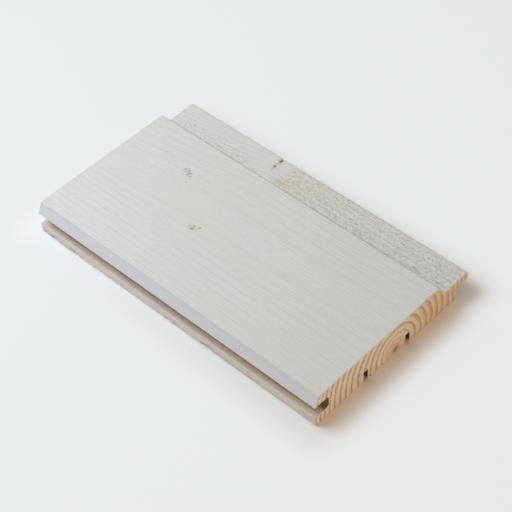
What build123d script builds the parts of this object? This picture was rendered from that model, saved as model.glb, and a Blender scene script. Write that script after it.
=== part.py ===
"""Exterior cladding board, milled in one piece from a softwood plank.

The board lies on its back. X runs along the grain, Y from the groove edge to the tongue edge, and Z from
the back up to the weather face. The origin is the centre of the back, below the middle of the whole width.

The groove edge ends in two lips: the upper one has the sloping weather bevel, the lower one stands a little
behind it. At the other edge the weather face steps down a sloping riser to a wide shelf, and the shelf runs
out as the tongue. In a wall the tongue of one board fills the groove of the next, and the part of the shelf
that stays bare makes the shadow gap between the two faces. Two relief grooves in the back keep the board flat.
"""
import os

from build123d import *

# Board, over its nose and tongue
BOARD_LENGTH = 200.0
BOARD_WIDTH = 120.0
BOARD_THICKNESS = 21.0

# Tongue and shelf
TONGUE_THICKNESS = 6.0
TONGUE_LENGTH = 9.6  # below, from the back's edge to the tip
SHELF_WIDTH = 19.3  # above, from the riser's foot to the tip
RISER_RUN = 5.8  # how far the riser leans back between the shelf and the face

# Groove, which takes the tongue of the next board
LOWER_LIP_THICKNESS = 6.4
LOWER_LIP_SETBACK = 0.5  # the lower lip stands this far behind the nose of the upper one
CLEARANCE_BELOW_TONGUE = 1.2
CLEARANCE_ABOVE_TONGUE = 0.4
CLEARANCE_AT_TONGUE_TIP = 0.4
GROOVE_CEILING_FALL = 0.3  # the ceiling drops this much from the mouth to the wall

# Upper lip
BEVEL_RUN = 3.4  # how far the weather bevel leans back between the nose and the face
NOSE_HEIGHT = 0.5

# Relief grooves in the back
RELIEF_COUNT = 2
RELIEF_WIDTH = 3.2
RELIEF_DEPTH = 7.3
RELIEF_PITCH = 32.5
RELIEF_OFFSET = 0.9  # the row sits this far from the middle of the back, towards the groove edge

# Radii of the milled corners
BACK_EDGE_RADIUS_GROOVE_SIDE = 1.0
BACK_EDGE_RADIUS_TONGUE_SIDE = 1.8
LOWER_LIP_RADIUS = 1.2
GROOVE_CORNER_RADIUS = 1.6
NOSE_RADIUS = 0.2
FACE_BEVEL_RADIUS = 0.6
FACE_RISER_RADIUS = 0.4
RISER_FOOT_RADIUS = 0.6
TONGUE_TIP_RADIUS = 1.8
TONGUE_ROOT_RADIUS = 0.5
RELIEF_CORNER_RADIUS = 0.4

# Heights above the back
tongue_underside = LOWER_LIP_THICKNESS + CLEARANCE_BELOW_TONGUE
shelf_height = tongue_underside + TONGUE_THICKNESS
groove_mouth_top = shelf_height + CLEARANCE_ABOVE_TONGUE
groove_wall_top = groove_mouth_top - GROOVE_CEILING_FALL
nose_top = groove_mouth_top + NOSE_HEIGHT

# Distances across the board, from its middle
nose = -BOARD_WIDTH / 2
tongue_tip = BOARD_WIDTH / 2
lower_lip_face = nose + LOWER_LIP_SETBACK
groove_wall = lower_lip_face + TONGUE_LENGTH + CLEARANCE_AT_TONGUE_TIP
bevel_top = nose + BEVEL_RUN
tongue_root = tongue_tip - TONGUE_LENGTH
riser_foot = tongue_tip - SHELF_WIDTH
riser_top = riser_foot - RISER_RUN


def milled_outline():
    """The planed section without the relief grooves, as corners (y, z, radius) in order round the board."""
    corners = [
        (lower_lip_face, 0, BACK_EDGE_RADIUS_GROOVE_SIDE),
        (tongue_root, 0, BACK_EDGE_RADIUS_TONGUE_SIDE),
        (tongue_root, tongue_underside, TONGUE_ROOT_RADIUS),
        (tongue_tip, tongue_underside, TONGUE_TIP_RADIUS),
        (tongue_tip, shelf_height, TONGUE_TIP_RADIUS),
        (riser_foot, shelf_height, RISER_FOOT_RADIUS),
        (riser_top, BOARD_THICKNESS, FACE_RISER_RADIUS),
        (bevel_top, BOARD_THICKNESS, FACE_BEVEL_RADIUS),
        (nose, nose_top, NOSE_RADIUS),
        (nose, groove_mouth_top, NOSE_RADIUS),
        (groove_wall, groove_wall_top, GROOVE_CORNER_RADIUS),
        (groove_wall, LOWER_LIP_THICKNESS, GROOVE_CORNER_RADIUS),
        (lower_lip_face, LOWER_LIP_THICKNESS, LOWER_LIP_RADIUS),
    ]
    points = [(y, z) for y, z, _ in corners]
    radii = [radius for _, _, radius in corners]
    return make_face(FilletPolyline(*points, radius=radii, close=True))


def relief_groove():
    """One relief groove's section, open at the back, with its two inner corners rounded."""
    slot = Rectangle(RELIEF_WIDTH, RELIEF_DEPTH, align=(Align.CENTER, Align.MIN))
    return fillet(slot.vertices().group_by(Axis.Y)[-1], radius=RELIEF_CORNER_RADIUS)


def board_section():
    """The whole section of the board, in the YZ plane."""
    middle_of_back = (lower_lip_face + tongue_root) / 2
    row = Pos(middle_of_back - RELIEF_OFFSET, 0) * GridLocations(RELIEF_PITCH, 0, RELIEF_COUNT, 1)
    section = milled_outline()
    for place in row:
        section -= place * relief_groove()
    return Plane.YZ * section


def cladding_board():
    """The board, its section run the whole length with square-cut ends."""
    return extrude(board_section(), BOARD_LENGTH / 2, both=True)


os.makedirs("parts", exist_ok=True)
export_step(cladding_board(), "parts/cladding_board.step")
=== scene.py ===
"""The looks of a glazed softwood cladding board, and the stage that it lies on.

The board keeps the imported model's own section. Its skin is drawn along the grain in short steps, so that
the sawn texture, the torn grain, the knots, the crack and the chips are real relief. One grain field moves
the relief and the colours together: the skin keeps on each vertex what the materials need to know there.

Lengths are in millimetres, apart from those of the stage, which are in metres.
"""
import math
import random
from functools import partial

import bmesh
import bpy
from bpy.props import FloatProperty, FloatVectorProperty, IntProperty, PointerProperty, StringProperty
from mathutils import Matrix, Vector, kdtree, noise


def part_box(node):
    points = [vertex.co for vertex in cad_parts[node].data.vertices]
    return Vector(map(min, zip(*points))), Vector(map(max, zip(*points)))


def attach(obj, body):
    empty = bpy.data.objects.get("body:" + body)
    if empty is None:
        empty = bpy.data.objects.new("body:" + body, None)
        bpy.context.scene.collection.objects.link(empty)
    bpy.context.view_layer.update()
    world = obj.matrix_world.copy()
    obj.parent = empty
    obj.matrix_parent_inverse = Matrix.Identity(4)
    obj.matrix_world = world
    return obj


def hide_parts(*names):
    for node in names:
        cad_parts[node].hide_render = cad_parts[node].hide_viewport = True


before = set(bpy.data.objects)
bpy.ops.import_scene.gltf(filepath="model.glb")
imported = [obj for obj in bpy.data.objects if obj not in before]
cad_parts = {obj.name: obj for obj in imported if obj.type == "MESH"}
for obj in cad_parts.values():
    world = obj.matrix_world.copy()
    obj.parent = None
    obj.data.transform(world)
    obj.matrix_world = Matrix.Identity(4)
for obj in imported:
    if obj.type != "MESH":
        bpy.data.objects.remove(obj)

bl_info = {
    "name": "Glazed Cladding Board",
    "version": (1, 0, 0),
    "blender": (4, 5, 0),
    "location": "3D View > Sidebar > Cladding",
    "description": "A sawn and glazed softwood cladding board with its grain, knots and wear",
    "category": "Add Mesh",
}

NODE = "cladding_board"
BODY = "root"
MM = 0.001

LOW, HIGH = (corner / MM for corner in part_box(NODE))
HALF_LENGTH = HIGH.x
HALF_WIDTH = HIGH.y
THICKNESS = HIGH.z

# Corners of the section, across the board from its middle and above its back
SHELF_HEIGHT = 13.6
NOSE_TOP = (-HALF_WIDTH, 14.5)
BEVEL_TOP = (-HALF_WIDTH + 3.4, THICKNESS)
RISER_TOP = (34.9, THICKNESS)
RISER_FOOT = (40.7, SHELF_HEIGHT)
TONGUE_TIP = (HALF_WIDTH, SHELF_HEIGHT)
LOWER_LIP_TOP = 6.4
GROOVE_TOP = 14.0
GROOVE_WALL = -HALF_WIDTH + 10.5
TONGUE_UNDERSIDE = 7.6
RELIEF_GROOVE_TOP = 7.3

# Heights above the back from which a side belongs to the shelf or the face, and from which all is glazed
SHELF_FROM = 0.55 * THICKNESS
GLAZED_FROM = 0.6 * THICKNESS

# The skin's longest steps round the planed parts of the section: bevel and nose, back, and the rest
BEVEL_STEP = 0.8
BACK_STEP = 6.0
SIDE_STEP = 1.5

# Heart of the tree as it shows on the near end, across the board and above its back
PITH_Y = 1.4
PITH_Z = 3.7

# Growth rings: how many are crossed on the way out from the pith, as a cubic in the distance
RING_START = -2.085
RING_LINEAR = 0.2927
RING_SQUARE = -0.003042
RING_CUBE = 0.0000378

# Rises and depths of the relief
FACE_RING_RISE = 0.04
SHELF_RING_RISE = 0.06
SAWN_ROUGHNESS = 0.02
TORN_ROUGHNESS = 0.10
TORN_SWELL = 0.16
SHELF_FURROW = 0.03
SHELF_FURROW_PITCH = 1.6
PLANED_WAVE = 0.03
KNOT_DIP = 0.14
KNOT_HOLE = 0.30
KNOT_RIM = 0.06
SPECK_DEPTH = 0.12
CRACK_DEPTH = 0.8
STAIN_DIP = 0.10
LIP_WEAR = 0.07

# Patterns of the wood's colours, as the size of their patches along and across the grain
RING_WANDER = (70, 9)
FURROW_SWAY = (60, 8)
FURROW_BREAK = (14, 2.2)
STREAK = (40, 1.3)
PATCH = (60, 16)
PORE = (3.0, 0.60)
TORN_SPECK = (1.7, 0.50)
TORN_DASH = (9.0, 0.50)
# Softwood's fibres are about 0.04 mm wide, too fine to show, so they are drawn as coarse as this
FIBRE = (4.0, 0.35)

# Patterns of the sawn end and of loose fibres, in patches a millimetre
END_DRIFT = 0.07
END_WAVE = 0.75
END_SPECKLE = 1.5
LOOSE_FIBRE_TONE = 0.8

# Depths of the finest relief, which only the shading shows
GLAZE_BUMP = 0.10
END_BUMP = 0.22

# How squarely a face of the skin looks along the grain where it shows end grain
FACES_END = 0.6

# Loose fibres under the lower lip and at the tongue's near corner, and the steps in which one bends
LIP_FIBRES = 18
LIP_FIBRE_THICKNESS = 0.10
CORNER_FIBRES = 9
CORNER_FIBRE_THICKNESS = 0.22
FIBRE_STEPS = 5

# The camera, as it was worked out from the board's corners in the photograph
CAMERA_AZIMUTH = 45.05
CAMERA_ELEVATION = 47.066
CAMERA_ROLL = -2.794
CAMERA_DISTANCE = 827.8
CAMERA_OFFSET_RIGHT = 3.65
CAMERA_OFFSET_UP = 1.46
FOCAL_PIXELS = 1542.8
PHOTO_PIXELS = 512
SENSOR_WIDTH = 36.0
CAMERA_CLIP = (0.05, 20)  # in metres

# How far the floor lies below the board's back, so that the two don't flicker through each other
FLOOR_GAP = 0.02

# Distances from the board between which the floor goes over to partly plain, and its tint before the sawn end
PLAIN_FROM = 1.5
PLAIN_FULL = 22.0
TINT_SHARE = 0.6


def linear(hex_colour):
    """An sRGB hex colour as linear red, green, blue and alpha."""
    channels = [int(hex_colour[i:i + 2], 16) / 255 for i in (1, 3, 5)]
    return [c / 12.92 if c <= 0.04045 else ((c + 0.055) / 1.055) ** 2.4 for c in channels] + [1.0]


def smooth(low, high, value):
    """0 at low, 1 at high and an even curve between; low may be the larger of the two."""
    t = min(max((value - low) / (high - low), 0.0), 1.0)
    return t * t * (3 - 2 * t)


# The grain field

def grain_drift(x, y):
    """How far the grain has wandered across the board at a place, against the near end."""
    rise_left = 0.14 * -math.log1p(math.exp(-(x + 25) / 6)) * 6
    rise_right = 0.06 * math.log1p(math.exp((x - 45) / 8)) * 8
    rise_at_end = 0.06 * (HALF_LENGTH - 45)
    return (rise_left + rise_right - rise_at_end) * smooth(-35, -8, y)


def ring_count(radius):
    """Growth rings between the pith and a distance from it."""
    return RING_START + radius * (RING_LINEAR + radius * (RING_SQUARE + radius * RING_CUBE))


def latewood(grain, z):
    """How near a place is to the dark hard edge of its ring, from 0 to 1."""
    radius = math.hypot(grain - PITH_Y, z - PITH_Z)
    return smooth(0.55, 0.93, ring_count(radius) % 1.0)


# Places on the board that have something of their own, along and across it

KNOTS = (
    # x, y, half length, half width, degrees that it turns
    (-55.6, 11.8, 6.2, 2.5, -36),
    (-23.6, -16.1, 4.6, 2.7, 28),
)
KNOT_REACH = 9
SPECKS = (
    # x, y, radius
    (-90.5, 21.3, 0.6), (-94.8, 25.2, 0.5), (-90.6, -12.9, 0.7), (26.5, 20.2, 0.5), (31.0, -6.4, 0.5),
    (42.0, -7.0, 0.5), (62.4, -38.8, 0.5), (90.6, 21.2, 0.5), (81.0, 30.8, 0.6), (80.8, -56.6, 0.6),
)
CRACK_X = -28.2
CRACK_FROM_Y = 47.4
SHELF_KNOT = (-22.3, 53.0, 4.4, 8.0)  # x, y, half length, half width
RESIN_STAIN = (-17.0, 44.8, 9.0, 3.4)
CHIPS = (
    # x along the lower lip's back edge, half length, depth
    (-98.5, 2.5, 0.8), (-91.0, 2.2, 0.8), (-74.5, 3.0, 0.7), (-3.0, 2.0, 0.4), (3.0, 2.4, 0.5),
    (25.5, 4.2, 0.9), (58.0, 1.8, 0.3),
)
TORN_FROM_X = -19.0
PITS_RIGHT = 300
PITS_LEFT = 26
PIT_REACH = 2.6


def across_ellipse(x, y, centre_x, centre_y, half_length, half_width, turn=0.0):
    """Distance from an ellipse's centre, where 1 is its edge."""
    c, s = math.cos(math.radians(turn)), math.sin(math.radians(turn))
    dx, dy = x - centre_x, y - centre_y
    return math.hypot((dx * c + dy * s) / half_length, (dy * c - dx * s) / half_width)


def crack_half_width(y):
    """Half the width of the crack across the shelf, which opens and closes on its way to the tongue's tip."""
    if y < CRACK_FROM_Y:
        return 0.0
    bulges = 0.32 + 0.18 * math.sin((y - 47.0) * 1.45) + 0.55 * smooth(55.0, 58.5, y)
    return bulges * smooth(CRACK_FROM_Y, CRACK_FROM_Y + 2.5, y)


def make_pits(seed):
    """Torn grain on the shelf, most of it right of the crack, as (x, y, half length, half width, depth)."""
    draw = random.Random(seed)
    pits = []
    for _ in range(PITS_RIGHT):
        x = draw.uniform(TORN_FROM_X, HALF_LENGTH - 1)
        y = draw.triangular(40.5, 59.0, 43.0)
        pits.append((x, y, draw.uniform(0.5, 1.5), draw.uniform(0.25, 0.55), draw.uniform(0.10, 0.42)))
    for _ in range(PITS_LEFT):
        x = draw.uniform(-75, -40)
        y = draw.gauss(44.6, 0.8) if draw.random() < 0.6 else draw.uniform(47, 58)
        pits.append((x, y, draw.uniform(0.5, 1.3), draw.uniform(0.25, 0.5), draw.uniform(0.10, 0.35)))
    return pits


# The skin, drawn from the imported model's section

def cad_outline():
    """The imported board's outline at its far end, as a bmesh of one closed chain of edges."""
    bm = bmesh.new()
    bm.from_mesh(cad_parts[NODE].data)
    bmesh.ops.remove_doubles(bm, verts=bm.verts, dist=1e-6)
    end_x = LOW.x * MM
    on_end = {v for v in bm.verts if abs(v.co.x - end_x) < 1e-6}
    cap = {f for f in bm.faces if all(v in on_end for v in f.verts)}
    rim = {e for f in cap for e in f.edges if sum(g in cap for g in e.link_faces) == 1}
    rim_verts = {v for e in rim for v in e.verts}
    if not rim or len(rim) != len(rim_verts):
        raise RuntimeError("The packed board's end has no single closed outline")
    bmesh.ops.delete(bm, geom=list(bm.faces), context="FACES_ONLY")
    bmesh.ops.delete(bm, geom=[e for e in bm.edges if e not in rim], context="EDGES")
    bmesh.ops.delete(bm, geom=[v for v in bm.verts if v not in rim_verts], context="VERTS")
    return bm


def outline_step(y, z, settings):
    """The longest edge that the skin may have round the section at a place."""
    if z > THICKNESS - 0.5:
        return settings.face_step
    if z > SHELF_FROM and y > 0.4 * HALF_WIDTH:
        return settings.shelf_step
    if z > GLAZED_FROM:
        return BEVEL_STEP
    if z < 0.5 and -HALF_WIDTH + 4 < y < HALF_WIDTH - 14:
        return BACK_STEP
    return SIDE_STEP


def divide_outline(bm, settings):
    """Divides the outline's long edges, so that each side has the detail that it needs."""
    for edge in list(bm.edges):
        a, b = (v.co / MM for v in edge.verts)
        middle = (a + b) / 2
        parts = math.ceil((a - b).length / outline_step(middle.y, middle.z, settings))
        if parts > 1:
            bmesh.ops.subdivide_edges(bm, edges=[edge], cuts=parts - 1)


def length_steps(settings):
    """Places along the board where the skin has a row of vertices, closer where the grain is torn."""
    x = -HALF_LENGTH + settings.end_chamfer
    end = HALF_LENGTH - settings.end_chamfer
    steps = []
    while x < end:
        steps.append(x)
        x += settings.plain_step if x < CRACK_X - 4 else settings.torn_step
    if end - steps[-1] < 0.3 * settings.torn_step:
        steps.pop()
    return steps + [end]


def close_end(bm, rim, outward, chamfer):
    """Caps one end, with a fine chamfer round it like a sanded saw cut."""
    cap = bmesh.ops.contextual_create(bm, geom=rim)["faces"][0]
    cap.normal_update()
    if cap.normal.x * outward < 0:
        cap.normal_flip()
    bmesh.ops.inset_region(bm, faces=[cap], thickness=chamfer * MM, use_even_offset=True)
    bmesh.ops.translate(bm, verts=cap.verts, vec=(outward * chamfer * MM, 0, 0))


def board_skin(settings):
    """The whole board as one closed skin, its section drawn along the grain in short steps."""
    bm = cad_outline()
    divide_outline(bm, settings)
    steps = length_steps(settings)
    bmesh.ops.translate(bm, verts=bm.verts, vec=((steps[0] + HALF_LENGTH) * MM, 0, 0))
    first = list(bm.edges)
    rim = first
    for here, there in zip(steps, steps[1:]):
        made = bmesh.ops.extrude_edge_only(bm, edges=rim)["geom"]
        rim = [e for e in made if isinstance(e, bmesh.types.BMEdge)]
        moved = [v for v in made if isinstance(v, bmesh.types.BMVert)]
        bmesh.ops.translate(bm, verts=moved, vec=((there - here) * MM, 0, 0))
    close_end(bm, rim, 1, settings.end_chamfer)
    close_end(bm, first, -1, settings.end_chamfer)
    bmesh.ops.recalc_face_normals(bm, faces=bm.faces)
    return bm


# Coat and relief at a place on the skin

def in_tongue_groove(y, z):
    """Whether a place of the section is on a wall of the groove that takes the next board's tongue."""
    return y < GROOVE_WALL + 0.5 and LOWER_LIP_TOP - 0.2 < z < GROOVE_TOP + 0.2


def coat_at(x, y, z):
    """How much of the glaze a place of the section has, from 0, bare, to 1."""
    mouth = y + HALF_WIDTH
    if in_tongue_groove(y, z) and mouth > 0.25:
        thin = 0.52 - 0.20 * smooth(-60, 100, x)
        fade = 6.0 if z < 9 else 1.0
        return thin * math.exp(-max(mouth - 1.5, 0) / fade)
    if z > GLAZED_FROM:
        return 1.0
    if y > HALF_WIDTH - 2.2 and z > TONGUE_UNDERSIDE - 0.3:
        return smooth(TONGUE_UNDERSIDE, 10.0, z)
    if mouth < 3 and z < LOWER_LIP_TOP + 0.2:
        return 0.80 * smooth(0.1, 1.4, z) * (1.0 if mouth < 1.6 else 0.6)
    return 0.0


def painted_shade_at(y, z):
    """Painted shade deep in the groove, in the relief grooves and in the foot of the riser."""
    if in_tongue_groove(y, z):
        return 0.78 * smooth(4.0, 9.0, y + HALF_WIDTH)
    if 0.3 < z < RELIEF_GROOVE_TOP + 0.2 and -HALF_WIDTH + 4 < y < HALF_WIDTH - 12:
        return 0.92
    foot = math.hypot((y - RISER_FOOT[0]) / 0.9, (z - RISER_FOOT[1]) / 1.3)
    return 0.06 * (1 - smooth(0.2, 1.3, foot))


class Relief:
    """How far each place of the skin is moved, how bare, dark or torn it is, and the painted shade of its
    hollows.
    """

    def __init__(self, settings):
        self.settings = settings
        self.pits = make_pits(settings.seed)
        self.tree = kdtree.KDTree(len(self.pits))
        for i, pit in enumerate(self.pits):
            self.tree.insert((pit[0], pit[1], 0), i)
        self.tree.balance()

    def weather_face(self, x, y, grain):
        """Sawn weather face: fine furrows along the grain, proud rings, knots and specks."""
        wobble = noise.noise((x * 0.03, grain * 0.12, 3.1))
        furrow = math.sin(2 * math.pi * grain / self.settings.furrow_pitch + 2.2 * wobble)
        broken = smooth(-0.35, 0.35, noise.noise((x * 0.05, grain * 0.3, 9.7)))
        height = self.settings.furrow_depth * (0.35 + 0.65 * broken) * 0.5 * furrow
        height += FACE_RING_RISE * latewood(grain, THICKNESS)
        height += SAWN_ROUGHNESS * noise.noise((x * 0.9, grain * 2.3, 1.7))
        bare = dark_and_shade = 0.0
        for knot in KNOTS:
            if max(abs(x - knot[0]), abs(y - knot[1])) <= KNOT_REACH:
                raised, worn, hole = self.face_knot(x, y, knot)
                height += raised
                bare, dark_and_shade = max(bare, worn), max(dark_and_shade, hole)
        for speck_x, speck_y, radius in SPECKS:
            d = math.hypot((x - speck_x) / 1.3, y - speck_y) / radius
            if d < 1.6:
                bare = max(bare, 0.30 * (1 - smooth(0.5, 1.4, d)))
                dark_and_shade = max(dark_and_shade, 0.22 * (1 - smooth(0.3, 1.0, d)))
                height -= SPECK_DEPTH * (1 - smooth(0.4, 1.3, d))
        return height, bare, dark_and_shade, 0.0

    def face_knot(self, x, y, knot):
        """A small ragged knot under the glaze: height, bareness and darkness, with holes in its core painted
        dark as their shade.
        """
        start_x, start_y = knot[:2]
        ragged = 0.38 * noise.noise((x * 0.9, y * 0.9, start_x))
        ragged += 0.22 * noise.noise((x * 2.1, y * 2.1, start_y))
        d = across_ellipse(x, y, *knot) + ragged
        blotch = smooth(-0.25, 0.35, noise.noise((x * 0.8, y * 0.8, start_x + 3)))
        holes = noise.noise((x * 1.1 + 4, y * 1.2, start_x * 0.3))
        holes += 0.5 * noise.noise((x * 2.1, y * 2.1, 2.2))
        dark_and_shade = 0.62 * (1 - smooth(0.40, 1.10, d)) * smooth(0.02, 0.30, holes)
        height = KNOT_RIM * math.exp(-((d - 1.25) / 0.3) ** 2)
        height -= KNOT_DIP * (1 - smooth(0.5, 1.0, d)) + KNOT_HOLE * dark_and_shade
        return height, (0.30 + 0.30 * blotch) * (1 - smooth(0.55, 1.20, d)), dark_and_shade

    def shelf(self, x, y, z, grain):
        """Rougher shelf: torn grain to the right, a crack, a smooth knot beside it and a resin stain."""
        rows = 0.8 * smooth(-98, -88, x) * (1 - smooth(-46, -36, x)) * (1 - smooth(47.5, 51.5, y))
        clear = smooth(0.75, 1.1, across_ellipse(x, y, *SHELF_KNOT))
        torn = clear * max(smooth(TORN_FROM_X - 6, TORN_FROM_X + 4, x), rows)
        turn = 2.0 * noise.noise((x * 0.04, grain * 0.2, 5.0))
        furrow = math.sin(2 * math.pi * grain / SHELF_FURROW_PITCH + turn)
        height = SHELF_FURROW * furrow * clear + SHELF_RING_RISE * latewood(grain, z)
        height += torn * TORN_SWELL * noise.noise((x * 0.65 - y * 0.25, y * 1.0, 0.4))
        height += (SAWN_ROUGHNESS + TORN_ROUGHNESS * torn) * noise.noise((x * 1.5, y * 1.9, 7.4))
        bare = dark_and_shade = 0.0
        for (pit_x, pit_y, _), i, _ in self.tree.find_range((x, y, 0), PIT_REACH):
            _, _, half_length, half_width, depth = self.pits[i]
            d = math.hypot((x - pit_x) / half_length, (y - pit_y) / half_width)
            if d < 1.3:
                hollow = depth * (1 - smooth(0.3, 1.3, d)) * clear
                height -= hollow
                # Painted shade: the deeper a pit, the darker it is painted
                dark_and_shade = max(dark_and_shade, 1.1 * hollow)
        half = crack_half_width(y)
        if half > 0:
            wander = 1.3 * noise.noise((y * 0.55, 1.0, 0.0)) + 0.7 * noise.noise((y * 1.3, 5.0, 0.0))
            edge = abs(x - CRACK_X - wander) - half + 0.35 * noise.noise((x * 1.3, y * 1.3, 8.8))
            height -= CRACK_DEPTH * (1 - smooth(-0.45, 0.35, edge))
            # Painted shade: the crack's core is painted near black across its depth
            dark_and_shade = max(dark_and_shade, 0.80 * (1 - smooth(-0.35, 0.25, edge)))
            bare = max(bare, 0.85 * (1 - smooth(0.1, 1.3, edge)))
        stain = across_ellipse(x, y, *RESIN_STAIN) + 0.6 * noise.noise((x * 0.45, y * 0.6, 2.0))
        spots = smooth(-0.30, 0.25, noise.noise((x * 0.9, y * 1.1, 5.5)))
        bare = max(bare, (0.42 + 0.45 * spots) * (1 - smooth(0.35, 1.25, stain)))
        spread = smooth(TORN_FROM_X - 4, TORN_FROM_X + 2, x) * (1 - smooth(-5, 45, x))
        bare = max(bare, 0.52 * spread * spots * clear)
        height -= STAIN_DIP * (1 - smooth(0.7, 1.0, stain))
        return height, bare, dark_and_shade, torn

    def lower_lip(self, x, y, z):
        """Chips along the lower lip's back edge, where the coat is knocked off."""
        loss = 0.0
        low = 1 - smooth(1.2, 2.6, z)
        front = 1 - smooth(-HALF_WIDTH + 1.0, -HALF_WIDTH + 3.5, y)
        for chip_x, half_length, depth in CHIPS:
            d = abs(x - chip_x) / half_length + 0.45 * noise.noise((x * 0.9, z * 1.2, chip_x))
            loss = max(loss, low * depth * (1 - smooth(0.35, 1.0, d)))
        worn = LIP_WEAR * (noise.noise((x * 0.35, 0, z * 0.4)) + 0.5 * noise.noise((x * 1.1, 2.0, z)))
        height = -(loss + max(worn, 0) * low) * front
        # The third value darkens the deepest chips: painted shade in them
        return height, 0.7 * smooth(0.05, 0.5, loss), 0.35 * smooth(0.3, 0.9, loss), 0.0

    def at(self, co, normal):
        """A vertex's place in the grain, its height along the normal, bareness, darkness with painted shade,
        and tearing.
        """
        x, y, z = co / MM
        grain = y - grain_drift(x, y)
        if z > THICKNESS - 1.0 and normal.z > 0.35:
            return (grain,) + self.weather_face(x, y, grain)
        if SHELF_FROM < z < 0.75 * THICKNESS and y > HALF_WIDTH - 20.5 and normal.z > -0.1:
            return (grain,) + self.shelf(x, y, z, grain)
        if y < -HALF_WIDTH + 3.5 and z < 3.0:
            return (grain,) + self.lower_lip(x, y, z)
        wave = 0.0
        if z > SHELF_FROM and (y < -HALF_WIDTH + 4 or y > 0.5 * HALF_WIDTH) and normal.z > -0.1:
            wave = noise.noise((x * 0.25, y * 1.1, z * 1.1))
        elif z > 0.4 or normal.z > -0.9:
            wave = noise.noise((x * 0.12, y * 1.2, z * 1.2))
        return grain, PLANED_WAVE * wave, 0.0, 0.0, 0.0


ATTRIBUTES = ("grain", "coat", "bare", "dark_and_shade", "torn", "sawn")


def carve_board(bm, settings):
    """Moves the skin's vertices by the relief and keeps on each what the material needs to know."""
    layers = {name: bm.verts.layers.float.new(name) for name in ATTRIBUTES}
    relief = Relief(settings)
    bm.normal_update()
    ends = HALF_LENGTH - 0.5 * settings.end_chamfer
    places = [(v, v.co.copy(), v.normal.copy()) for v in bm.verts]
    shifts = {}
    for v, co, normal in places:
        x, y, z = co / MM
        grain, height, bare, dark_and_shade, torn = relief.at(co, normal)
        sawn = z > THICKNESS - 0.3 or (z > SHELF_FROM and y > RISER_FOOT[0])
        # Painted shade in the groove, the relief grooves and the riser's foot joins the dark marks
        values = (grain, coat_at(x, y, z), bare, max(dark_and_shade, painted_shade_at(y, z)), torn, float(sawn))
        for name, value in zip(ATTRIBUTES, values):
            v[layers[name]] = value
        if abs(x) < ends:
            height *= 1 - 0.4 * smooth(HALF_LENGTH - 1.5, ends, abs(x))
            flat = Vector((0, normal.y, normal.z))
            v.co = co + flat.normalized() * height * MM
            v.co.z = max(v.co.z, 0.0)
            shifts[v] = v.co - co
    # The rim of each end follows the row beside it, so that a chip runs out through the saw cut
    for v, co, _ in places:
        if v not in shifts:
            beside = next(n for n in (e.other_vert(v) for e in v.link_edges) if n in shifts)
            v.co = co + shifts[beside]
            v.co.z = max(v.co.z, 0.0)


# Materials

# Settings that many nodes share: sums and products, a smooth step between two values, a mix of two colours
SUM = {"operation": "ADD"}
PRODUCT = {"operation": "MULTIPLY"}
PRODUCT_PLUS = {"operation": "MULTIPLY_ADD"}
STEP = {"interpolation_type": "SMOOTHSTEP"}
COLOURS = {"data_type": "RGBA"}


def add_node(tree, kind, *values, out=None, named=None, **settings):
    """Adds a node with its settings, fills its live inputs in order or by name, and gives one output."""
    made = tree.nodes.new("ShaderNode" + kind)
    for name, value in settings.items():
        setattr(made, name, value)
    pairs = list(zip([socket for socket in made.inputs if socket.enabled], values))
    pairs += [(made.inputs[name], value) for name, value in (named or {}).items()]
    for socket, value in pairs:
        if isinstance(value, bpy.types.NodeSocket):
            tree.links.new(value, socket)
        else:
            socket.default_value = value
    if out:
        return made.outputs[out]
    return next((socket for socket in made.outputs if socket.enabled), None)


def start_material(name):
    """An empty node material, and add_node for its tree."""
    material = bpy.data.materials.new(name)
    material.use_nodes = True
    material.node_tree.nodes.clear()
    return material, partial(add_node, material.node_tree)


def place_in_mm(add):
    """Object coordinates in mm: as one vector, and as x, y and z."""
    place = add("VectorMath", add("TexCoord", out="Object"), 1 / MM, operation="SCALE")
    return place, add("SeparateXYZ", place).node.outputs


def along_grain(add, place, patch, detail=3.0, offset=0.0):
    """Noise drawn out along the grain; patch is the size of its patches along and across, in mm."""
    x, grain, z = place
    along, across = patch
    stretched = add(
        "CombineXYZ",
        add("Math", x, 1 / along, offset, **PRODUCT_PLUS),
        add("Math", grain, 1 / across, **PRODUCT),
        add("Math", z, 1 / across, **PRODUCT),
    )
    return add("TexNoise", stretched, 1.0, detail, 0.6)


def growth_rings(add, across, up, wander):
    """Each growth ring's dark edge from 0 to 1, the distance from the pith in mm, and the ring's phase."""
    dy = add("Math", across, PITH_Y, operation="SUBTRACT")
    dz = add("Math", up, PITH_Z, operation="SUBTRACT")
    squares = add("Math", dz, dz, add("Math", dy, dy, **PRODUCT), **PRODUCT_PLUS)
    radius = add("Math", squares, operation="SQRT")
    uneven = add("Math", radius, wander, **SUM)
    inner = add("Math", uneven, RING_CUBE, RING_SQUARE, **PRODUCT_PLUS)
    inner = add("Math", uneven, inner, RING_LINEAR, **PRODUCT_PLUS)
    # Ten rings more keep the count above zero, and leave its fraction as it is
    count = add("Math", uneven, inner, RING_START + 10, **PRODUCT_PLUS)
    phase = add("Math", count, operation="FRACT")
    rise = add("MapRange", phase, 0.50, 0.92, 0.0, 1.0, **STEP)
    fall = add("MapRange", phase, 0.965, 1.0, 1.0, 0.0, **STEP)
    return add("Math", rise, fall, **PRODUCT), radius, phase


def sawn_furrows(add, place, sawn, pitch):
    """The saw's furrows along the grain, which sway and break off, from 0 to 1."""
    sway = along_grain(add, place, FURROW_SWAY, 1.0, 20.0)
    sway = add("Math", sway, 5.0, -2.5, **PRODUCT_PLUS)
    angle = add("Math", place[1], 2 * math.pi / pitch, sway, **PRODUCT_PLUS)
    furrow = add("MapRange", add("Math", angle, operation="SINE"), -0.2, 1.0, 0.0, 1.0, **STEP)
    broken = along_grain(add, place, FURROW_BREAK, 3.0, 60.0)
    broken = add("MapRange", broken, 0.36, 0.62, 0.25, 1.0, **STEP)
    return add("Math", add("Math", furrow, broken, **PRODUCT), sawn, **PRODUCT)


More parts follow.
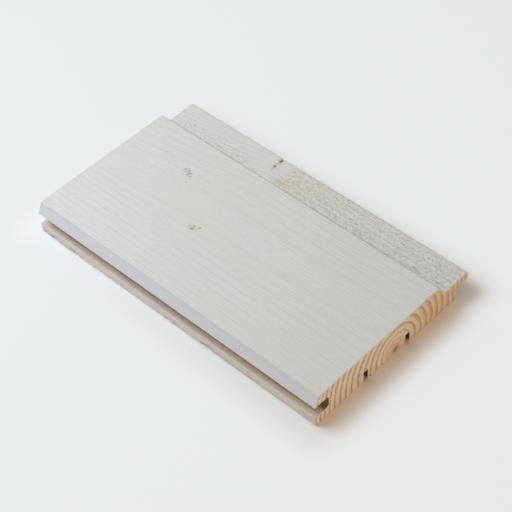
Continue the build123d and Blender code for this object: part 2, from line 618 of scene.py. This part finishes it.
def bare_pine(add, colours, late, streaks):
    """Bare planed pine: pale earlywood, tan latewood and darker streaks."""
    ring = add("Math", late, 0.70, **PRODUCT)
    wood = add("Mix", ring, linear(colours.earlywood), linear(colours.latewood), **COLOURS)
    shade = add("MapRange", streaks, 0.35, 0.75, 0.0, 0.30, **STEP)
    return add("Mix", shade, wood, linear(colours.wood_shade), **COLOURS)


def white_glaze(add, colours, place, late, furrow, streaks, fibres, torn, sawn):
    """White glaze: thinner over rings, furrows and fibres, warmer in patches, cooler where it is planed."""
    lines = add("Math", late, 0.22, add("Math", furrow, 0.42, **PRODUCT), **PRODUCT_PLUS)
    shade = add("MapRange", streaks, 0.50, 0.80, 0.0, 0.35, **STEP)
    lines = add("Math", lines, shade, **SUM)
    shade = add("MapRange", fibres, 0.40, 0.80, 0.0, 0.55, **STEP)
    lines = add("Math", lines, shade, **SUM, use_clamp=True)
    glaze = add("Mix", lines, linear(colours.glaze), linear(colours.glaze_thin), **COLOURS)
    warm = along_grain(add, place, PATCH, 2.0, 80.0)
    warm = add("MapRange", warm, 0.40, 0.70, 0.15, 0.5, **STEP)
    warm = add("Math", warm, sawn, **PRODUCT)
    warm = add("Math", warm, add("Math", torn, 0.35, **PRODUCT), operation="MAXIMUM")
    glaze = add("Mix", warm, glaze, linear(colours.glaze_warm), **COLOURS)
    planed = add("Math", sawn, -0.50, 0.50, **PRODUCT_PLUS)
    return add("Mix", planed, glaze, linear(colours.glaze_planed), **COLOURS)


def torn_glaze(add, colours, place, glaze, late, torn):
    """The glaze over torn grain: painted shade of its hollows as grey dots in rows along the grain, and
    painted highlights on raised fibres as pale specks.
    """
    specks = along_grain(add, place, TORN_SPECK, 1.0, 31.0)
    dots = add("MapRange", specks, 0.52, 0.68, 0.0, 1.0, **STEP)
    rows = along_grain(add, place, TORN_DASH, 3.0, 57.0)
    rows = add("MapRange", rows, 0.50, 0.75, 0.0, 0.45, **STEP)
    # Painted shade of the hollows in torn grain
    hollow_shade = add("Math", dots, 0.75, rows, **PRODUCT_PLUS)
    hollow_shade = add("Math", hollow_shade, 0.75, **PRODUCT)
    hollow_shade = add("Math", late, 0.16, hollow_shade, **PRODUCT_PLUS, use_clamp=True)
    hollow_shade = add("Math", hollow_shade, torn, **PRODUCT)
    glaze = add("Mix", hollow_shade, glaze, linear(colours.torn_pores), **COLOURS)
    # Painted highlight on raised torn fibres
    tuft_highlight = add("MapRange", specks, 0.50, 0.34, 0.0, 0.70, **STEP)
    tuft_highlight = add("Math", tuft_highlight, torn, **PRODUCT)
    return add("Mix", tuft_highlight, glaze, linear(colours.tuft_highlight), **COLOURS)


def glazed_pine(colours, settings):
    """Pine, sawn and glazed.

    The glaze is a thin matt white stain, through which rings, furrows and knots still show, so that the eye
    takes it for stained wood and not for paint. The same wood is bare in the groove and on the back, where
    the coat fades out.
    """
    material, add = start_material("glazed_pine")
    _, (x, _, z) = place_in_mm(add)
    marks = (add("Attribute", out="Fac", attribute_name=name) for name in ATTRIBUTES)
    grain, coat, bare, dark_and_shade, torn, sawn = marks
    place = (x, grain, z)
    wander = add("Math", along_grain(add, place, RING_WANDER), 1.6, -0.8, **PRODUCT_PLUS)
    late, _, _ = growth_rings(add, grain, z, wander)
    streaks = along_grain(add, place, STREAK, 4.0)
    fibres = along_grain(add, place, FIBRE, 2.0, 40.0)
    pores = along_grain(add, place, PORE, 2.0, 11.0)
    furrow = sawn_furrows(add, place, sawn, settings.furrow_pitch)

    wood = bare_pine(add, colours, late, streaks)
    glaze = white_glaze(add, colours, place, late, furrow, streaks, fibres, torn, sawn)
    glaze = torn_glaze(add, colours, place, glaze, late, torn)

    # Where the coat is thin, it is unevenly rubbed off the fibres
    rub = add("Math", fibres, 0.6, -0.3, **PRODUCT_PLUS)
    thin = add("MapRange", coat, 1.0, 0.7, 0.0, 1.0, **STEP)
    cover = add("Math", rub, thin, coat, **PRODUCT_PLUS, use_clamp=True)
    surface = add("Mix", cover, wood, glaze, **COLOURS)

    worn = add("Math", pores, 0.9, -0.45, **PRODUCT_PLUS)
    worn = add("Math", worn, bare, **SUM)
    worn = add("MapRange", worn, 0.10, 0.95, 0.0, 0.85, **STEP)
    surface = add("Mix", worn, surface, linear(colours.knot), **COLOURS)
    # Knot holes, specks and the crack's core go dark, and so does painted shade in pits, chips and grooves
    dark = add("MapRange", dark_and_shade, 0.0, 1.0, 0.0, 0.95, **STEP)
    surface = add("Mix", dark, surface, linear(colours.crack), **COLOURS)

    height = add("Math", furrow, -0.5, add("Math", fibres, 0.9, **PRODUCT), **PRODUCT_PLUS)
    height = add("Math", late, 0.3, height, **PRODUCT_PLUS)
    torn_pores = add("Math", pores, torn, **PRODUCT)
    height = add("Math", torn_pores, -3.0, height, **PRODUCT_PLUS)
    bump = add("Bump", named={"Strength": 1.0, "Distance": GLAZE_BUMP * MM, "Height": height})
    rough = add("Math", coat, -0.12, 0.82, **PRODUCT_PLUS)
    looks = {"Base Color": surface, "Roughness": rough, "IOR": 1.5, "Normal": bump}
    add("OutputMaterial", add("BsdfPrincipled", named=looks))
    return material


def depth_below(add, y, z, here, there):
    """Depth in the section below the side that runs from one corner to the next, solid on its right."""
    run, rise = there[0] - here[0], there[1] - here[1]
    length = math.hypot(run, rise)
    at_start = (run * here[1] - rise * here[0]) / length
    by_height = add("Math", z, -run / length, at_start, **PRODUCT_PLUS)
    return add("Math", y, rise / length, by_height, **PRODUCT_PLUS)


def depth_below_coat(add, y, z):
    """Depth in the section below the nearest glazed side."""
    face = depth_below(add, y, z, BEVEL_TOP, RISER_TOP)
    bevel = depth_below(add, y, z, NOSE_TOP, BEVEL_TOP)
    riser = depth_below(add, y, z, RISER_TOP, RISER_FOOT)
    shelf = depth_below(add, y, z, RISER_FOOT, TONGUE_TIP)
    front = add("Math", face, bevel, operation="MINIMUM")
    step = add("Math", riser, shelf, operation="MAXIMUM")
    return add("Math", front, step, operation="MINIMUM")


def end_grain_rings(add, phase, radius, speckle, dense):
    """The sawn end's rings: fine dotted lines on the groove side, wide soft bands where it is dense."""
    rise = add("MapRange", phase, 0.50, 0.84, 0.0, 1.0, **STEP)
    fall = add("MapRange", phase, 0.95, 1.0, 1.0, 0.0, **STEP)
    dotted = add("MapRange", speckle, 0.40, 0.58, 0.30, 1.0, **STEP)
    line = add("Math", add("Math", rise, fall, **PRODUCT), dotted, **PRODUCT)
    rise = add("MapRange", phase, 0.20, 0.75, 0.0, 1.0, **STEP)
    fall = add("MapRange", phase, 0.90, 1.0, 1.0, 0.0, **STEP)
    dotted = add("MapRange", speckle, 0.36, 0.60, 0.55, 1.0, **STEP)
    band = add("Math", add("Math", rise, fall, **PRODUCT), dotted, **PRODUCT)
    outer = add("MapRange", radius, 5.0, 16.0, 0.30, 1.0, **STEP)
    return add("Math", add("Mix", dense, line, band), outer, **PRODUCT)


def end_grain_pine(colours):
    """Pine sawn across.

    It is matt and a little torn, with rings about the pith, denser and warmer wood on the tongue side and a
    pale rim below the glaze, partly a painted highlight where the arris catches light, so that the eye takes
    it for a fresh cut of solid wood.
    """
    material, add = start_material("end_grain_pine")
    place, (_, y, z) = place_in_mm(add)
    patterns = (add("TexNoise", place, density, 2.0) for density in (END_DRIFT, END_WAVE, END_SPECKLE))
    drift, wave, speckle = patterns
    wander = add("Math", drift, 2.5, -3.1, **PRODUCT_PLUS)
    wander = add("Math", wave, 1.9, wander, **PRODUCT_PLUS)
    wander = add("Math", speckle, 1.8, wander, **PRODUCT_PLUS)
    late, radius, phase = growth_rings(add, y, z, wander)

    dense = add("Math", drift, 30.0, -15.0, **PRODUCT_PLUS)
    dense = add("Math", dense, y, **SUM)
    dense = add("MapRange", dense, 4.0, 34.0, 0.0, 1.0, **STEP)
    ring = end_grain_rings(add, phase, radius, speckle, dense)
    early = add("Mix", dense, linear(colours.end_early), linear(colours.end_dense), **COLOURS)
    dark = add("Mix", dense, linear(colours.end_late), linear(colours.end_dense_late), **COLOURS)
    wood = add("Mix", ring, early, dark, **COLOURS)
    pale = add("MapRange", phase, 0.0, 0.20, 0.6, 0.0, **STEP)
    pale = add("Math", pale, dense, **PRODUCT)
    wood = add("Mix", pale, wood, linear(colours.end_early), **COLOURS)
    torn = add("MapRange", speckle, 0.52, 0.70, 0.0, 0.55, **STEP)
    wood = add("Mix", torn, wood, linear(colours.end_speckle), **COLOURS)
    core = add("MapRange", radius, 11.0, 3.0, 0.0, 0.22, **STEP)
    wood = add("Mix", core, wood, linear(colours.end_late), **COLOURS)
    heart = add("Math", radius, wander, **SUM)
    heart = add("MapRange", heart, 2.3, 1.1, 0.0, 0.75, **STEP)
    wood = add("Mix", heart, wood, linear(colours.pith), **COLOURS)

    # Pale rim under the glazed sides: glaze on the arris, and a painted highlight where the edge catches
    # light
    rim = add("Math", speckle, 1.6, -0.8, **PRODUCT_PLUS)
    rim = add("Math", rim, depth_below_coat(add, y, z), **SUM)
    rim = add("MapRange", rim, 1.4, 0.7, 0.0, 0.7, **STEP)
    wood = add("Mix", rim, wood, linear(colours.edge_glaze_highlight), **COLOURS)

    # The saw's slanting marks, the torn pores and the proud rings
    cut = add("Math", z, 2.6, add("Math", y, 0.85, **PRODUCT), **PRODUCT_PLUS)
    cut = add("Math", drift, 9.0, cut, **PRODUCT_PLUS)
    height = add("Math", add("Math", cut, operation="SINE"), 0.06, speckle, **PRODUCT_PLUS)
    height = add("Math", late, 0.2, height, **PRODUCT_PLUS)
    bump = add("Bump", named={"Strength": 1.0, "Distance": END_BUMP * MM, "Height": height})
    looks = {"Base Color": wood, "Roughness": 0.85, "IOR": 1.45, "Normal": bump}
    add("OutputMaterial", add("BsdfPrincipled", named=looks))
    return material


def torn_fibre(colours):
    """Loose softwood fibres, pale and slightly shiny where they were torn and not cut."""
    material, add = start_material("torn_fibre")
    place, _ = place_in_mm(add)
    tone = add("TexNoise", place, LOOSE_FIBRE_TONE, 2.0)
    tone = add("MapRange", tone, 0.35, 0.65, 0.0, 1.0, **STEP)
    colour = add("Mix", tone, linear(colours.earlywood), linear(colours.latewood), **COLOURS)
    add("OutputMaterial", add("BsdfPrincipled", named={"Base Color": colour, "Roughness": 0.6, "IOR": 1.5}))
    return material


def floor_paint(stage):
    """Matt pale studio floor.

    Away from the board the camera sees it partly plain, so that its white stays even. Right before the sawn
    end it has a faint warm tint, because the light that the wood throws on it is fainter than it should be.
    """
    material, add = start_material("studio_floor")
    _, (x, y, _) = place_in_mm(add)
    near = add("MapRange", x, HALF_LENGTH + 17, HALF_LENGTH - 2, 0.0, TINT_SHARE, **STEP)
    for place, start, full in (
        (x, HALF_LENGTH - 10, HALF_LENGTH - 4),
        (y, -HALF_WIDTH - 4, -HALF_WIDTH + 8),
        (y, HALF_WIDTH - 8, HALF_WIDTH - 26),
    ):
        within = add("MapRange", place, start, full, 0.0, 1.0, **STEP)
        near = add("Math", near, within, **PRODUCT)
    tint = add("Mix", near, linear(stage.floor_colour), linear(stage.bounce_colour), **COLOURS)

    past_end = add("Math", add("Math", x, operation="ABSOLUTE"), HALF_LENGTH, operation="SUBTRACT")
    past_end = add("Math", past_end, 0.0, operation="MAXIMUM")
    past_side = add("Math", add("Math", y, operation="ABSOLUTE"), HALF_WIDTH, operation="SUBTRACT")
    past_side = add("Math", past_side, 0.0, operation="MAXIMUM")
    squares = add("Math", past_end, past_end, **PRODUCT)
    squares = add("Math", past_side, past_side, squares, **PRODUCT_PLUS)
    distance = add("Math", squares, operation="SQRT")
    share = add("MapRange", distance, PLAIN_FROM, PLAIN_FULL, 0.0, stage.plain_share, **STEP)
    share = add("Math", share, add("LightPath", out="Is Camera Ray"), **PRODUCT)
    plain = add("Emission", linear(stage.backdrop_colour), 1.0)
    add("OutputMaterial", add("MixShader", share, add("BsdfDiffuse", tint), plain))
    return material


# Settings

def length_setting(name, description, default, least):
    """A length on the board, in mm."""
    return FloatProperty(name=name, description=description + ", in mm", default=default, min=least)


def colour_setting(name, description, default):
    """A colour as an sRGB hex value."""
    return StringProperty(name=name, description=description, default=default)


def power_setting(name, description, default):
    """A light's power in watts."""
    return FloatProperty(name=name, description=description, default=default, min=0.0, unit="POWER")


def size_setting(name, description, default):
    """A size on the stage, in metres."""
    return FloatProperty(name=name, description=description, default=default, min=0.01, unit="LENGTH")


def place_setting(name, description, default):
    """A place on the stage, in metres."""
    return FloatVectorProperty(name=name, description=description, default=default, subtype="TRANSLATION")


class CladdingSettings(bpy.types.PropertyGroup):
    """Sizes of the board's skin and relief."""
    face_step: length_setting("Face step", "Skin's step across the face", 0.70, 0.2)
    shelf_step: length_setting("Shelf step", "Skin's step across the shelf", 0.50, 0.2)
    plain_step: length_setting("Plain step", "Step along even grain", 1.25, 0.3)
    torn_step: length_setting("Torn step", "Step along torn grain", 0.90, 0.3)
    end_chamfer: length_setting("End chamfer", "Chamfer round the saw cuts", 0.18, 0.05)
    furrow_pitch: length_setting("Furrow pitch", "Spacing of the sawn furrows", 2.0, 0.5)
    furrow_depth: length_setting("Furrow depth", "Depth of the sawn furrows", 0.05, 0.0)
    seed: IntProperty(name="Seed", description="Start of the random draws", default=7)


class WoodColours(bpy.types.PropertyGroup):
    """Colours of the wood and of its glaze."""
    glaze: colour_setting("Glaze", "White glaze at full thickness", "#D9DBD9")
    glaze_thin: colour_setting("Thin glaze", "Glaze over rings and furrows", "#C6C8C4")
    glaze_warm: colour_setting("Warm glaze", "Glaze where more wood shows through", "#D4D4CB")
    glaze_planed: colour_setting("Planed glaze", "Glaze on the bevel, the riser and the lips", "#C2C5CA")
    # Torn pores: painted shade of the hollows in torn grain; the next colour is a painted highlight on its
    # raised fibres
    torn_pores: colour_setting("Torn pores", "Hollows of torn grain under the glaze", "#B0B1AA")
    tuft_highlight: colour_setting("Tufts", "Raised torn fibres", "#E7E6DF")
    earlywood: colour_setting("Earlywood", "Bare wood, light", "#EBD3B8")
    latewood: colour_setting("Latewood", "Bare wood, dark edge of a ring", "#C79E74")
    wood_shade: colour_setting("Wood shade", "Darker streaks of bare wood", "#CBA888")
    knot: colour_setting("Knot", "Worn wood of a knot or stain", "#D0C297")
    # The crack colour is also used for painted shade deep in grooves, pits and chips
    crack: colour_setting("Crack", "Inside of a crack or hole", "#46352A")
    end_early: colour_setting("End grain", "Sawn end, light", "#F8E3C5")
    end_late: colour_setting("End rings", "Sawn end, dark edge of a ring", "#AE7A48")
    end_dense: colour_setting("Dense end grain", "Sawn end on the tongue side", "#F3D9B6")
    end_dense_late: colour_setting("Dense end rings", "Rings on the tongue side", "#D8A976")
    end_speckle: colour_setting("End speckle", "Torn pores of the sawn end", "#A67848")
    # Pale rim below the glaze, partly a painted highlight of the lit arris
    edge_glaze_highlight: colour_setting("Painted edge", "Rim of the sawn end below the coat", "#F3E2CC")
    pith: colour_setting("Pith", "Heart of the tree", "#95602F")


class StageSettings(bpy.types.PropertyGroup):
    """Floor and light."""
    floor_size: size_setting("Floor size", "Side of the floor", 6.0)
    floor_colour: colour_setting("Floor", "Colour of the floor", "#EEF1F1")
    bounce_colour: colour_setting("Bounce", "Floor right before the sawn end, warm with its light", "#F6DDC4")
    backdrop_colour: colour_setting("Backdrop", "Plain white round the board", "#EAEDEE")
    plain_share: FloatProperty(name="Plain share", description="Unshaded share of the floor farther away",
                               default=0.85, min=0.0, max=1.0, subtype="FACTOR")
    world_colour: colour_setting("World colour", "Tint of the light from all round", "#FFF1E2")
    world_strength: FloatProperty(name="World", description="Strength of the light from all round",
                                  default=0.49, min=0.0)
    key_colour: colour_setting("Key colour", "Tint of the lights above and before the groove", "#E6F0FF")
    key_power: power_setting("Key", "Power of the soft light above", 2.34)
    key_size: size_setting("Key size", "Side of the soft light above", 0.35)
    key_place: place_setting("Key place", "Where the soft light hangs", (-0.30, -0.17, 0.49))
    front_power: power_setting("Front", "Power of the low light before the groove", 0.16)
    front_size: size_setting("Front size", "Side of the low light", 0.25)
    front_place: place_setting("Front place", "Where the low light stands", (-0.38, -0.32, 0.26))
    card_colour: colour_setting("Card colour", "Tint of the warm card", "#FFD9A8")
    card_power: power_setting("Card", "Power of the warm card before the end", 0.11)
    card_size: size_setting("Card size", "Side of the warm card", 0.2)
    card_place: place_setting("Card place", "Where the warm card stands", (0.42, -0.10, 0.10))


# The board and its loose fibres

def place_mesh(bm, name, materials):
    """Turns a bmesh into an object of the scene that rides with the board."""
    mesh = bpy.data.meshes.new(name)
    bm.to_mesh(mesh)
    bm.free()
    for material in materials:
        mesh.materials.append(material)
    made = bpy.data.objects.new(name, mesh)
    bpy.context.scene.collection.objects.link(made)
    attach(made, BODY)
    return made


class CLADDING_OT_board(bpy.types.Operator):
    """Makes the board: its skin, relief and wood"""
    bl_idname = "cladding.board"
    bl_label = "Board"

    def execute(self, context):
        settings, colours = context.scene.cladding, context.scene.cladding_colours
        bm = board_skin(settings)
        if not all(edge.is_manifold for edge in bm.edges):
            raise RuntimeError("The board's skin isn't closed")
        carve_board(bm, settings)
        for face in bm.faces:
            middle = face.calc_center_median() / MM
            face.material_index = 1 if abs(face.normal.x) > FACES_END else 0
            face.smooth = abs(middle.x) < HALF_LENGTH - 0.9 * settings.end_chamfer
        board = place_mesh(bm, "board", [glazed_pine(colours, settings), end_grain_pine(colours)])
        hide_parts(NODE)
        return {"FINISHED"}


def splinter(bm, root, heading, length, thickness, curl, draw):
    """One torn fibre: a thin three-sided spike that bends as it goes."""
    # Of a short three-sided rod, only the foot is kept
    rod = bmesh.ops.create_cone(bm, segments=3, radius1=thickness / 2, radius2=thickness / 2, depth=0.1 * MM,
                                cap_ends=True)["verts"]
    bmesh.ops.delete(bm, geom=[v for v in rod if v.co.z > 0], context="VERTS")
    foot = [v for v in rod if v.is_valid]
    turn = heading.to_track_quat("Z", "Y").to_matrix()
    bmesh.ops.rotate(bm, verts=foot, cent=(0, 0, 0), matrix=turn)
    bmesh.ops.translate(bm, verts=foot, vec=root)
    edges = list({e for v in foot for e in v.link_edges})
    bmesh.ops.contextual_create(bm, geom=edges)
    direction = heading.normalized()
    for i in range(FIBRE_STEPS):
        made = bmesh.ops.extrude_edge_only(bm, edges=edges)["geom"]
        edges = [e for e in made if isinstance(e, bmesh.types.BMEdge)]
        tip = [v for v in made if isinstance(v, bmesh.types.BMVert)]
        direction = (direction + curl * (0.5 + draw.random()) / FIBRE_STEPS).normalized()
        bmesh.ops.translate(bm, verts=tip, vec=direction * length / FIBRE_STEPS)
        middle = sum((v.co for v in tip), Vector()) / len(tip)
        shrink = 1 - 0.75 * (i + 1) / FIBRE_STEPS if i else 0.85
        bmesh.ops.scale(bm, verts=tip, vec=(shrink,) * 3, space=Matrix.Translation(-middle))
    bmesh.ops.contextual_create(bm, geom=edges)


class CLADDING_OT_splinters(bpy.types.Operator):
    """Makes the torn fibres under the lower lip and under the tongue's near corner"""
    bl_idname = "cladding.splinters"
    bl_label = "Splinters"

    def execute(self, context):
        settings, colours = context.scene.cladding, context.scene.cladding_colours
        draw = random.Random(settings.seed + 1)
        bm = bmesh.new()
        for _ in range(LIP_FIBRES):
            x, y = draw.gauss(-80, 4), -HALF_WIDTH + draw.uniform(0.6, 1.4)
            root = Vector((x, y, draw.uniform(0.15, 0.6))) * MM
            heading = Vector((draw.uniform(0.2, 1.0), -draw.uniform(0.3, 0.7), draw.uniform(-0.05, 0.10)))
            curl = Vector((draw.uniform(-0.3, 1.0), draw.uniform(-0.4, 0.4), 0.0))
            splinter(bm, root, heading, draw.uniform(1.0, 3.5) * MM, LIP_FIBRE_THICKNESS * MM, curl, draw)
        for _ in range(CORNER_FIBRES):
            x, y = HALF_LENGTH - draw.uniform(0.2, 1.2), HALF_WIDTH - draw.uniform(2.0, 7.0)
            root = Vector((x, y, TONGUE_UNDERSIDE + 0.15)) * MM
            heading = Vector((draw.uniform(0.2, 1.0), draw.uniform(-0.3, 0.5), -draw.uniform(0.5, 1.0)))
            curl = Vector((draw.uniform(-0.3, 0.6), draw.uniform(-0.6, 0.6), -0.2))
            splinter(bm, root, heading, draw.uniform(0.8, 2.4) * MM, CORNER_FIBRE_THICKNESS * MM, curl, draw)
        if not bm.faces:
            raise RuntimeError("No torn fibre was made")
        bmesh.ops.recalc_face_normals(bm, faces=bm.faces)
        place_mesh(bm, "torn_fibres", [torn_fibre(colours)])
        return {"FINISHED"}


# The stage

def camera_axes():
    """The camera's right, up and backward directions, and the point that it looks at."""
    azimuth, elevation, roll = (math.radians(a) for a in (CAMERA_AZIMUTH, CAMERA_ELEVATION, CAMERA_ROLL))
    back = Vector((math.sin(azimuth) * math.cos(elevation), -math.cos(azimuth) * math.cos(elevation),
                   math.sin(elevation)))
    level_right = (-back).cross(Vector((0, 0, 1))).normalized()
    level_up = level_right.cross(-back)
    right = math.cos(roll) * level_right + math.sin(roll) * level_up
    up = -math.sin(roll) * level_right + math.cos(roll) * level_up
    target = (level_right * CAMERA_OFFSET_RIGHT + level_up * CAMERA_OFFSET_UP) * MM
    return right, up, back, target


def make_camera(scene):
    """The camera at the photograph's viewing angle."""
    data = bpy.data.cameras.new("camera")
    data.sensor_width = SENSOR_WIDTH
    data.lens = FOCAL_PIXELS * SENSOR_WIDTH / PHOTO_PIXELS
    data.clip_start, data.clip_end = CAMERA_CLIP
    camera = bpy.data.objects.new("camera", data)
    scene.collection.objects.link(camera)
    right, up, back, target = camera_axes()
    turn = Matrix((right, up, back)).transposed().to_4x4()
    camera.matrix_world = Matrix.Translation(target + back * CAMERA_DISTANCE * MM) @ turn
    scene.camera = camera


def make_floor(scene, stage):
    """A large level floor just under the board."""
    bm = bmesh.new()
    bmesh.ops.create_grid(bm, x_segments=1, y_segments=1, size=stage.floor_size / 2)
    mesh = bpy.data.meshes.new("floor")
    bm.to_mesh(mesh)
    bm.free()
    mesh.materials.append(floor_paint(stage))
    floor = bpy.data.objects.new("floor", mesh)
    floor.location.z = -FLOOR_GAP * MM
    scene.collection.objects.link(floor)


def soft_light(scene, name, place, power, size, hex_colour):
    """A square soft light that faces the board and doesn't show to the camera."""
    data = bpy.data.lights.new(name, "AREA")
    data.shape = "SQUARE"
    data.size = size
    data.energy = power
    data.color = linear(hex_colour)[:3]
    light = bpy.data.objects.new(name, data)
    light.visible_camera = False
    scene.collection.objects.link(light)
    place = Vector(place)
    light.matrix_world = Matrix.Translation(place) @ place.to_track_quat("Z", "Y").to_matrix().to_4x4()


def make_world(scene, stage):
    """Even pale light from all round; the camera sees the plain backdrop in its place."""
    world = bpy.data.worlds.new("studio")
    scene.world = world
    world.use_nodes = True
    world.node_tree.nodes.clear()
    add = partial(add_node, world.node_tree)
    rays = add("LightPath").node.outputs
    seen = add("Math", rays["Is Camera Ray"], rays["Is Glossy Ray"], operation="MAXIMUM")
    seen = add("Math", seen, rays["Is Transmission Ray"], operation="MAXIMUM")
    light = add("Background", linear(stage.world_colour), stage.world_strength)
    shown = add("Background", linear(stage.backdrop_colour), 1.0)
    add("OutputWorld", add("MixShader", seen, light, shown))


class CLADDING_OT_stage(bpy.types.Operator):
    """Makes the floor, the lights and the camera"""
    bl_idname = "cladding.stage"
    bl_label = "Stage"

    def execute(self, context):
        scene, stage = context.scene, context.scene.cladding_stage
        scene.view_settings.view_transform = "Standard"
        make_floor(scene, stage)
        make_world(scene, stage)
        soft_light(scene, "key", stage.key_place, stage.key_power, stage.key_size, stage.key_colour)
        soft_light(scene, "front", stage.front_place, stage.front_power, stage.front_size, stage.key_colour)
        soft_light(scene, "card", stage.card_place, stage.card_power, stage.card_size, stage.card_colour)
        make_camera(scene)
        return {"FINISHED"}


OPERATORS = (CLADDING_OT_board, CLADDING_OT_splinters, CLADDING_OT_stage)


class CLADDING_PT_panel(bpy.types.Panel):
    """Lists the pieces and the stage, with their settings"""
    bl_label = "Cladding board"
    bl_space_type = "VIEW_3D"
    bl_region_type = "UI"
    bl_category = "Cladding"

    def draw(self, context):
        for group in (context.scene.cladding, context.scene.cladding_colours, context.scene.cladding_stage):
            for key in group.__annotations__:
                self.layout.prop(group, key)
        for operator in OPERATORS:
            self.layout.operator(operator.bl_idname)


CLASSES = (CladdingSettings, WoodColours, StageSettings) + OPERATORS + (CLADDING_PT_panel,)


def register():
    for cls in CLASSES:
        bpy.utils.register_class(cls)
    bpy.types.Scene.cladding = PointerProperty(type=CladdingSettings)
    bpy.types.Scene.cladding_colours = PointerProperty(type=WoodColours)
    bpy.types.Scene.cladding_stage = PointerProperty(type=StageSettings)


def unregister():
    del bpy.types.Scene.cladding_stage
    del bpy.types.Scene.cladding_colours
    del bpy.types.Scene.cladding
    for cls in reversed(CLASSES):
        bpy.utils.unregister_class(cls)


def main():
    """Makes the board and its stage."""
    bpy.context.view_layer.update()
    register()
    bpy.ops.cladding.board()
    bpy.ops.cladding.splinters()
    bpy.ops.cladding.stage()


if __name__ == "__main__":
    main()
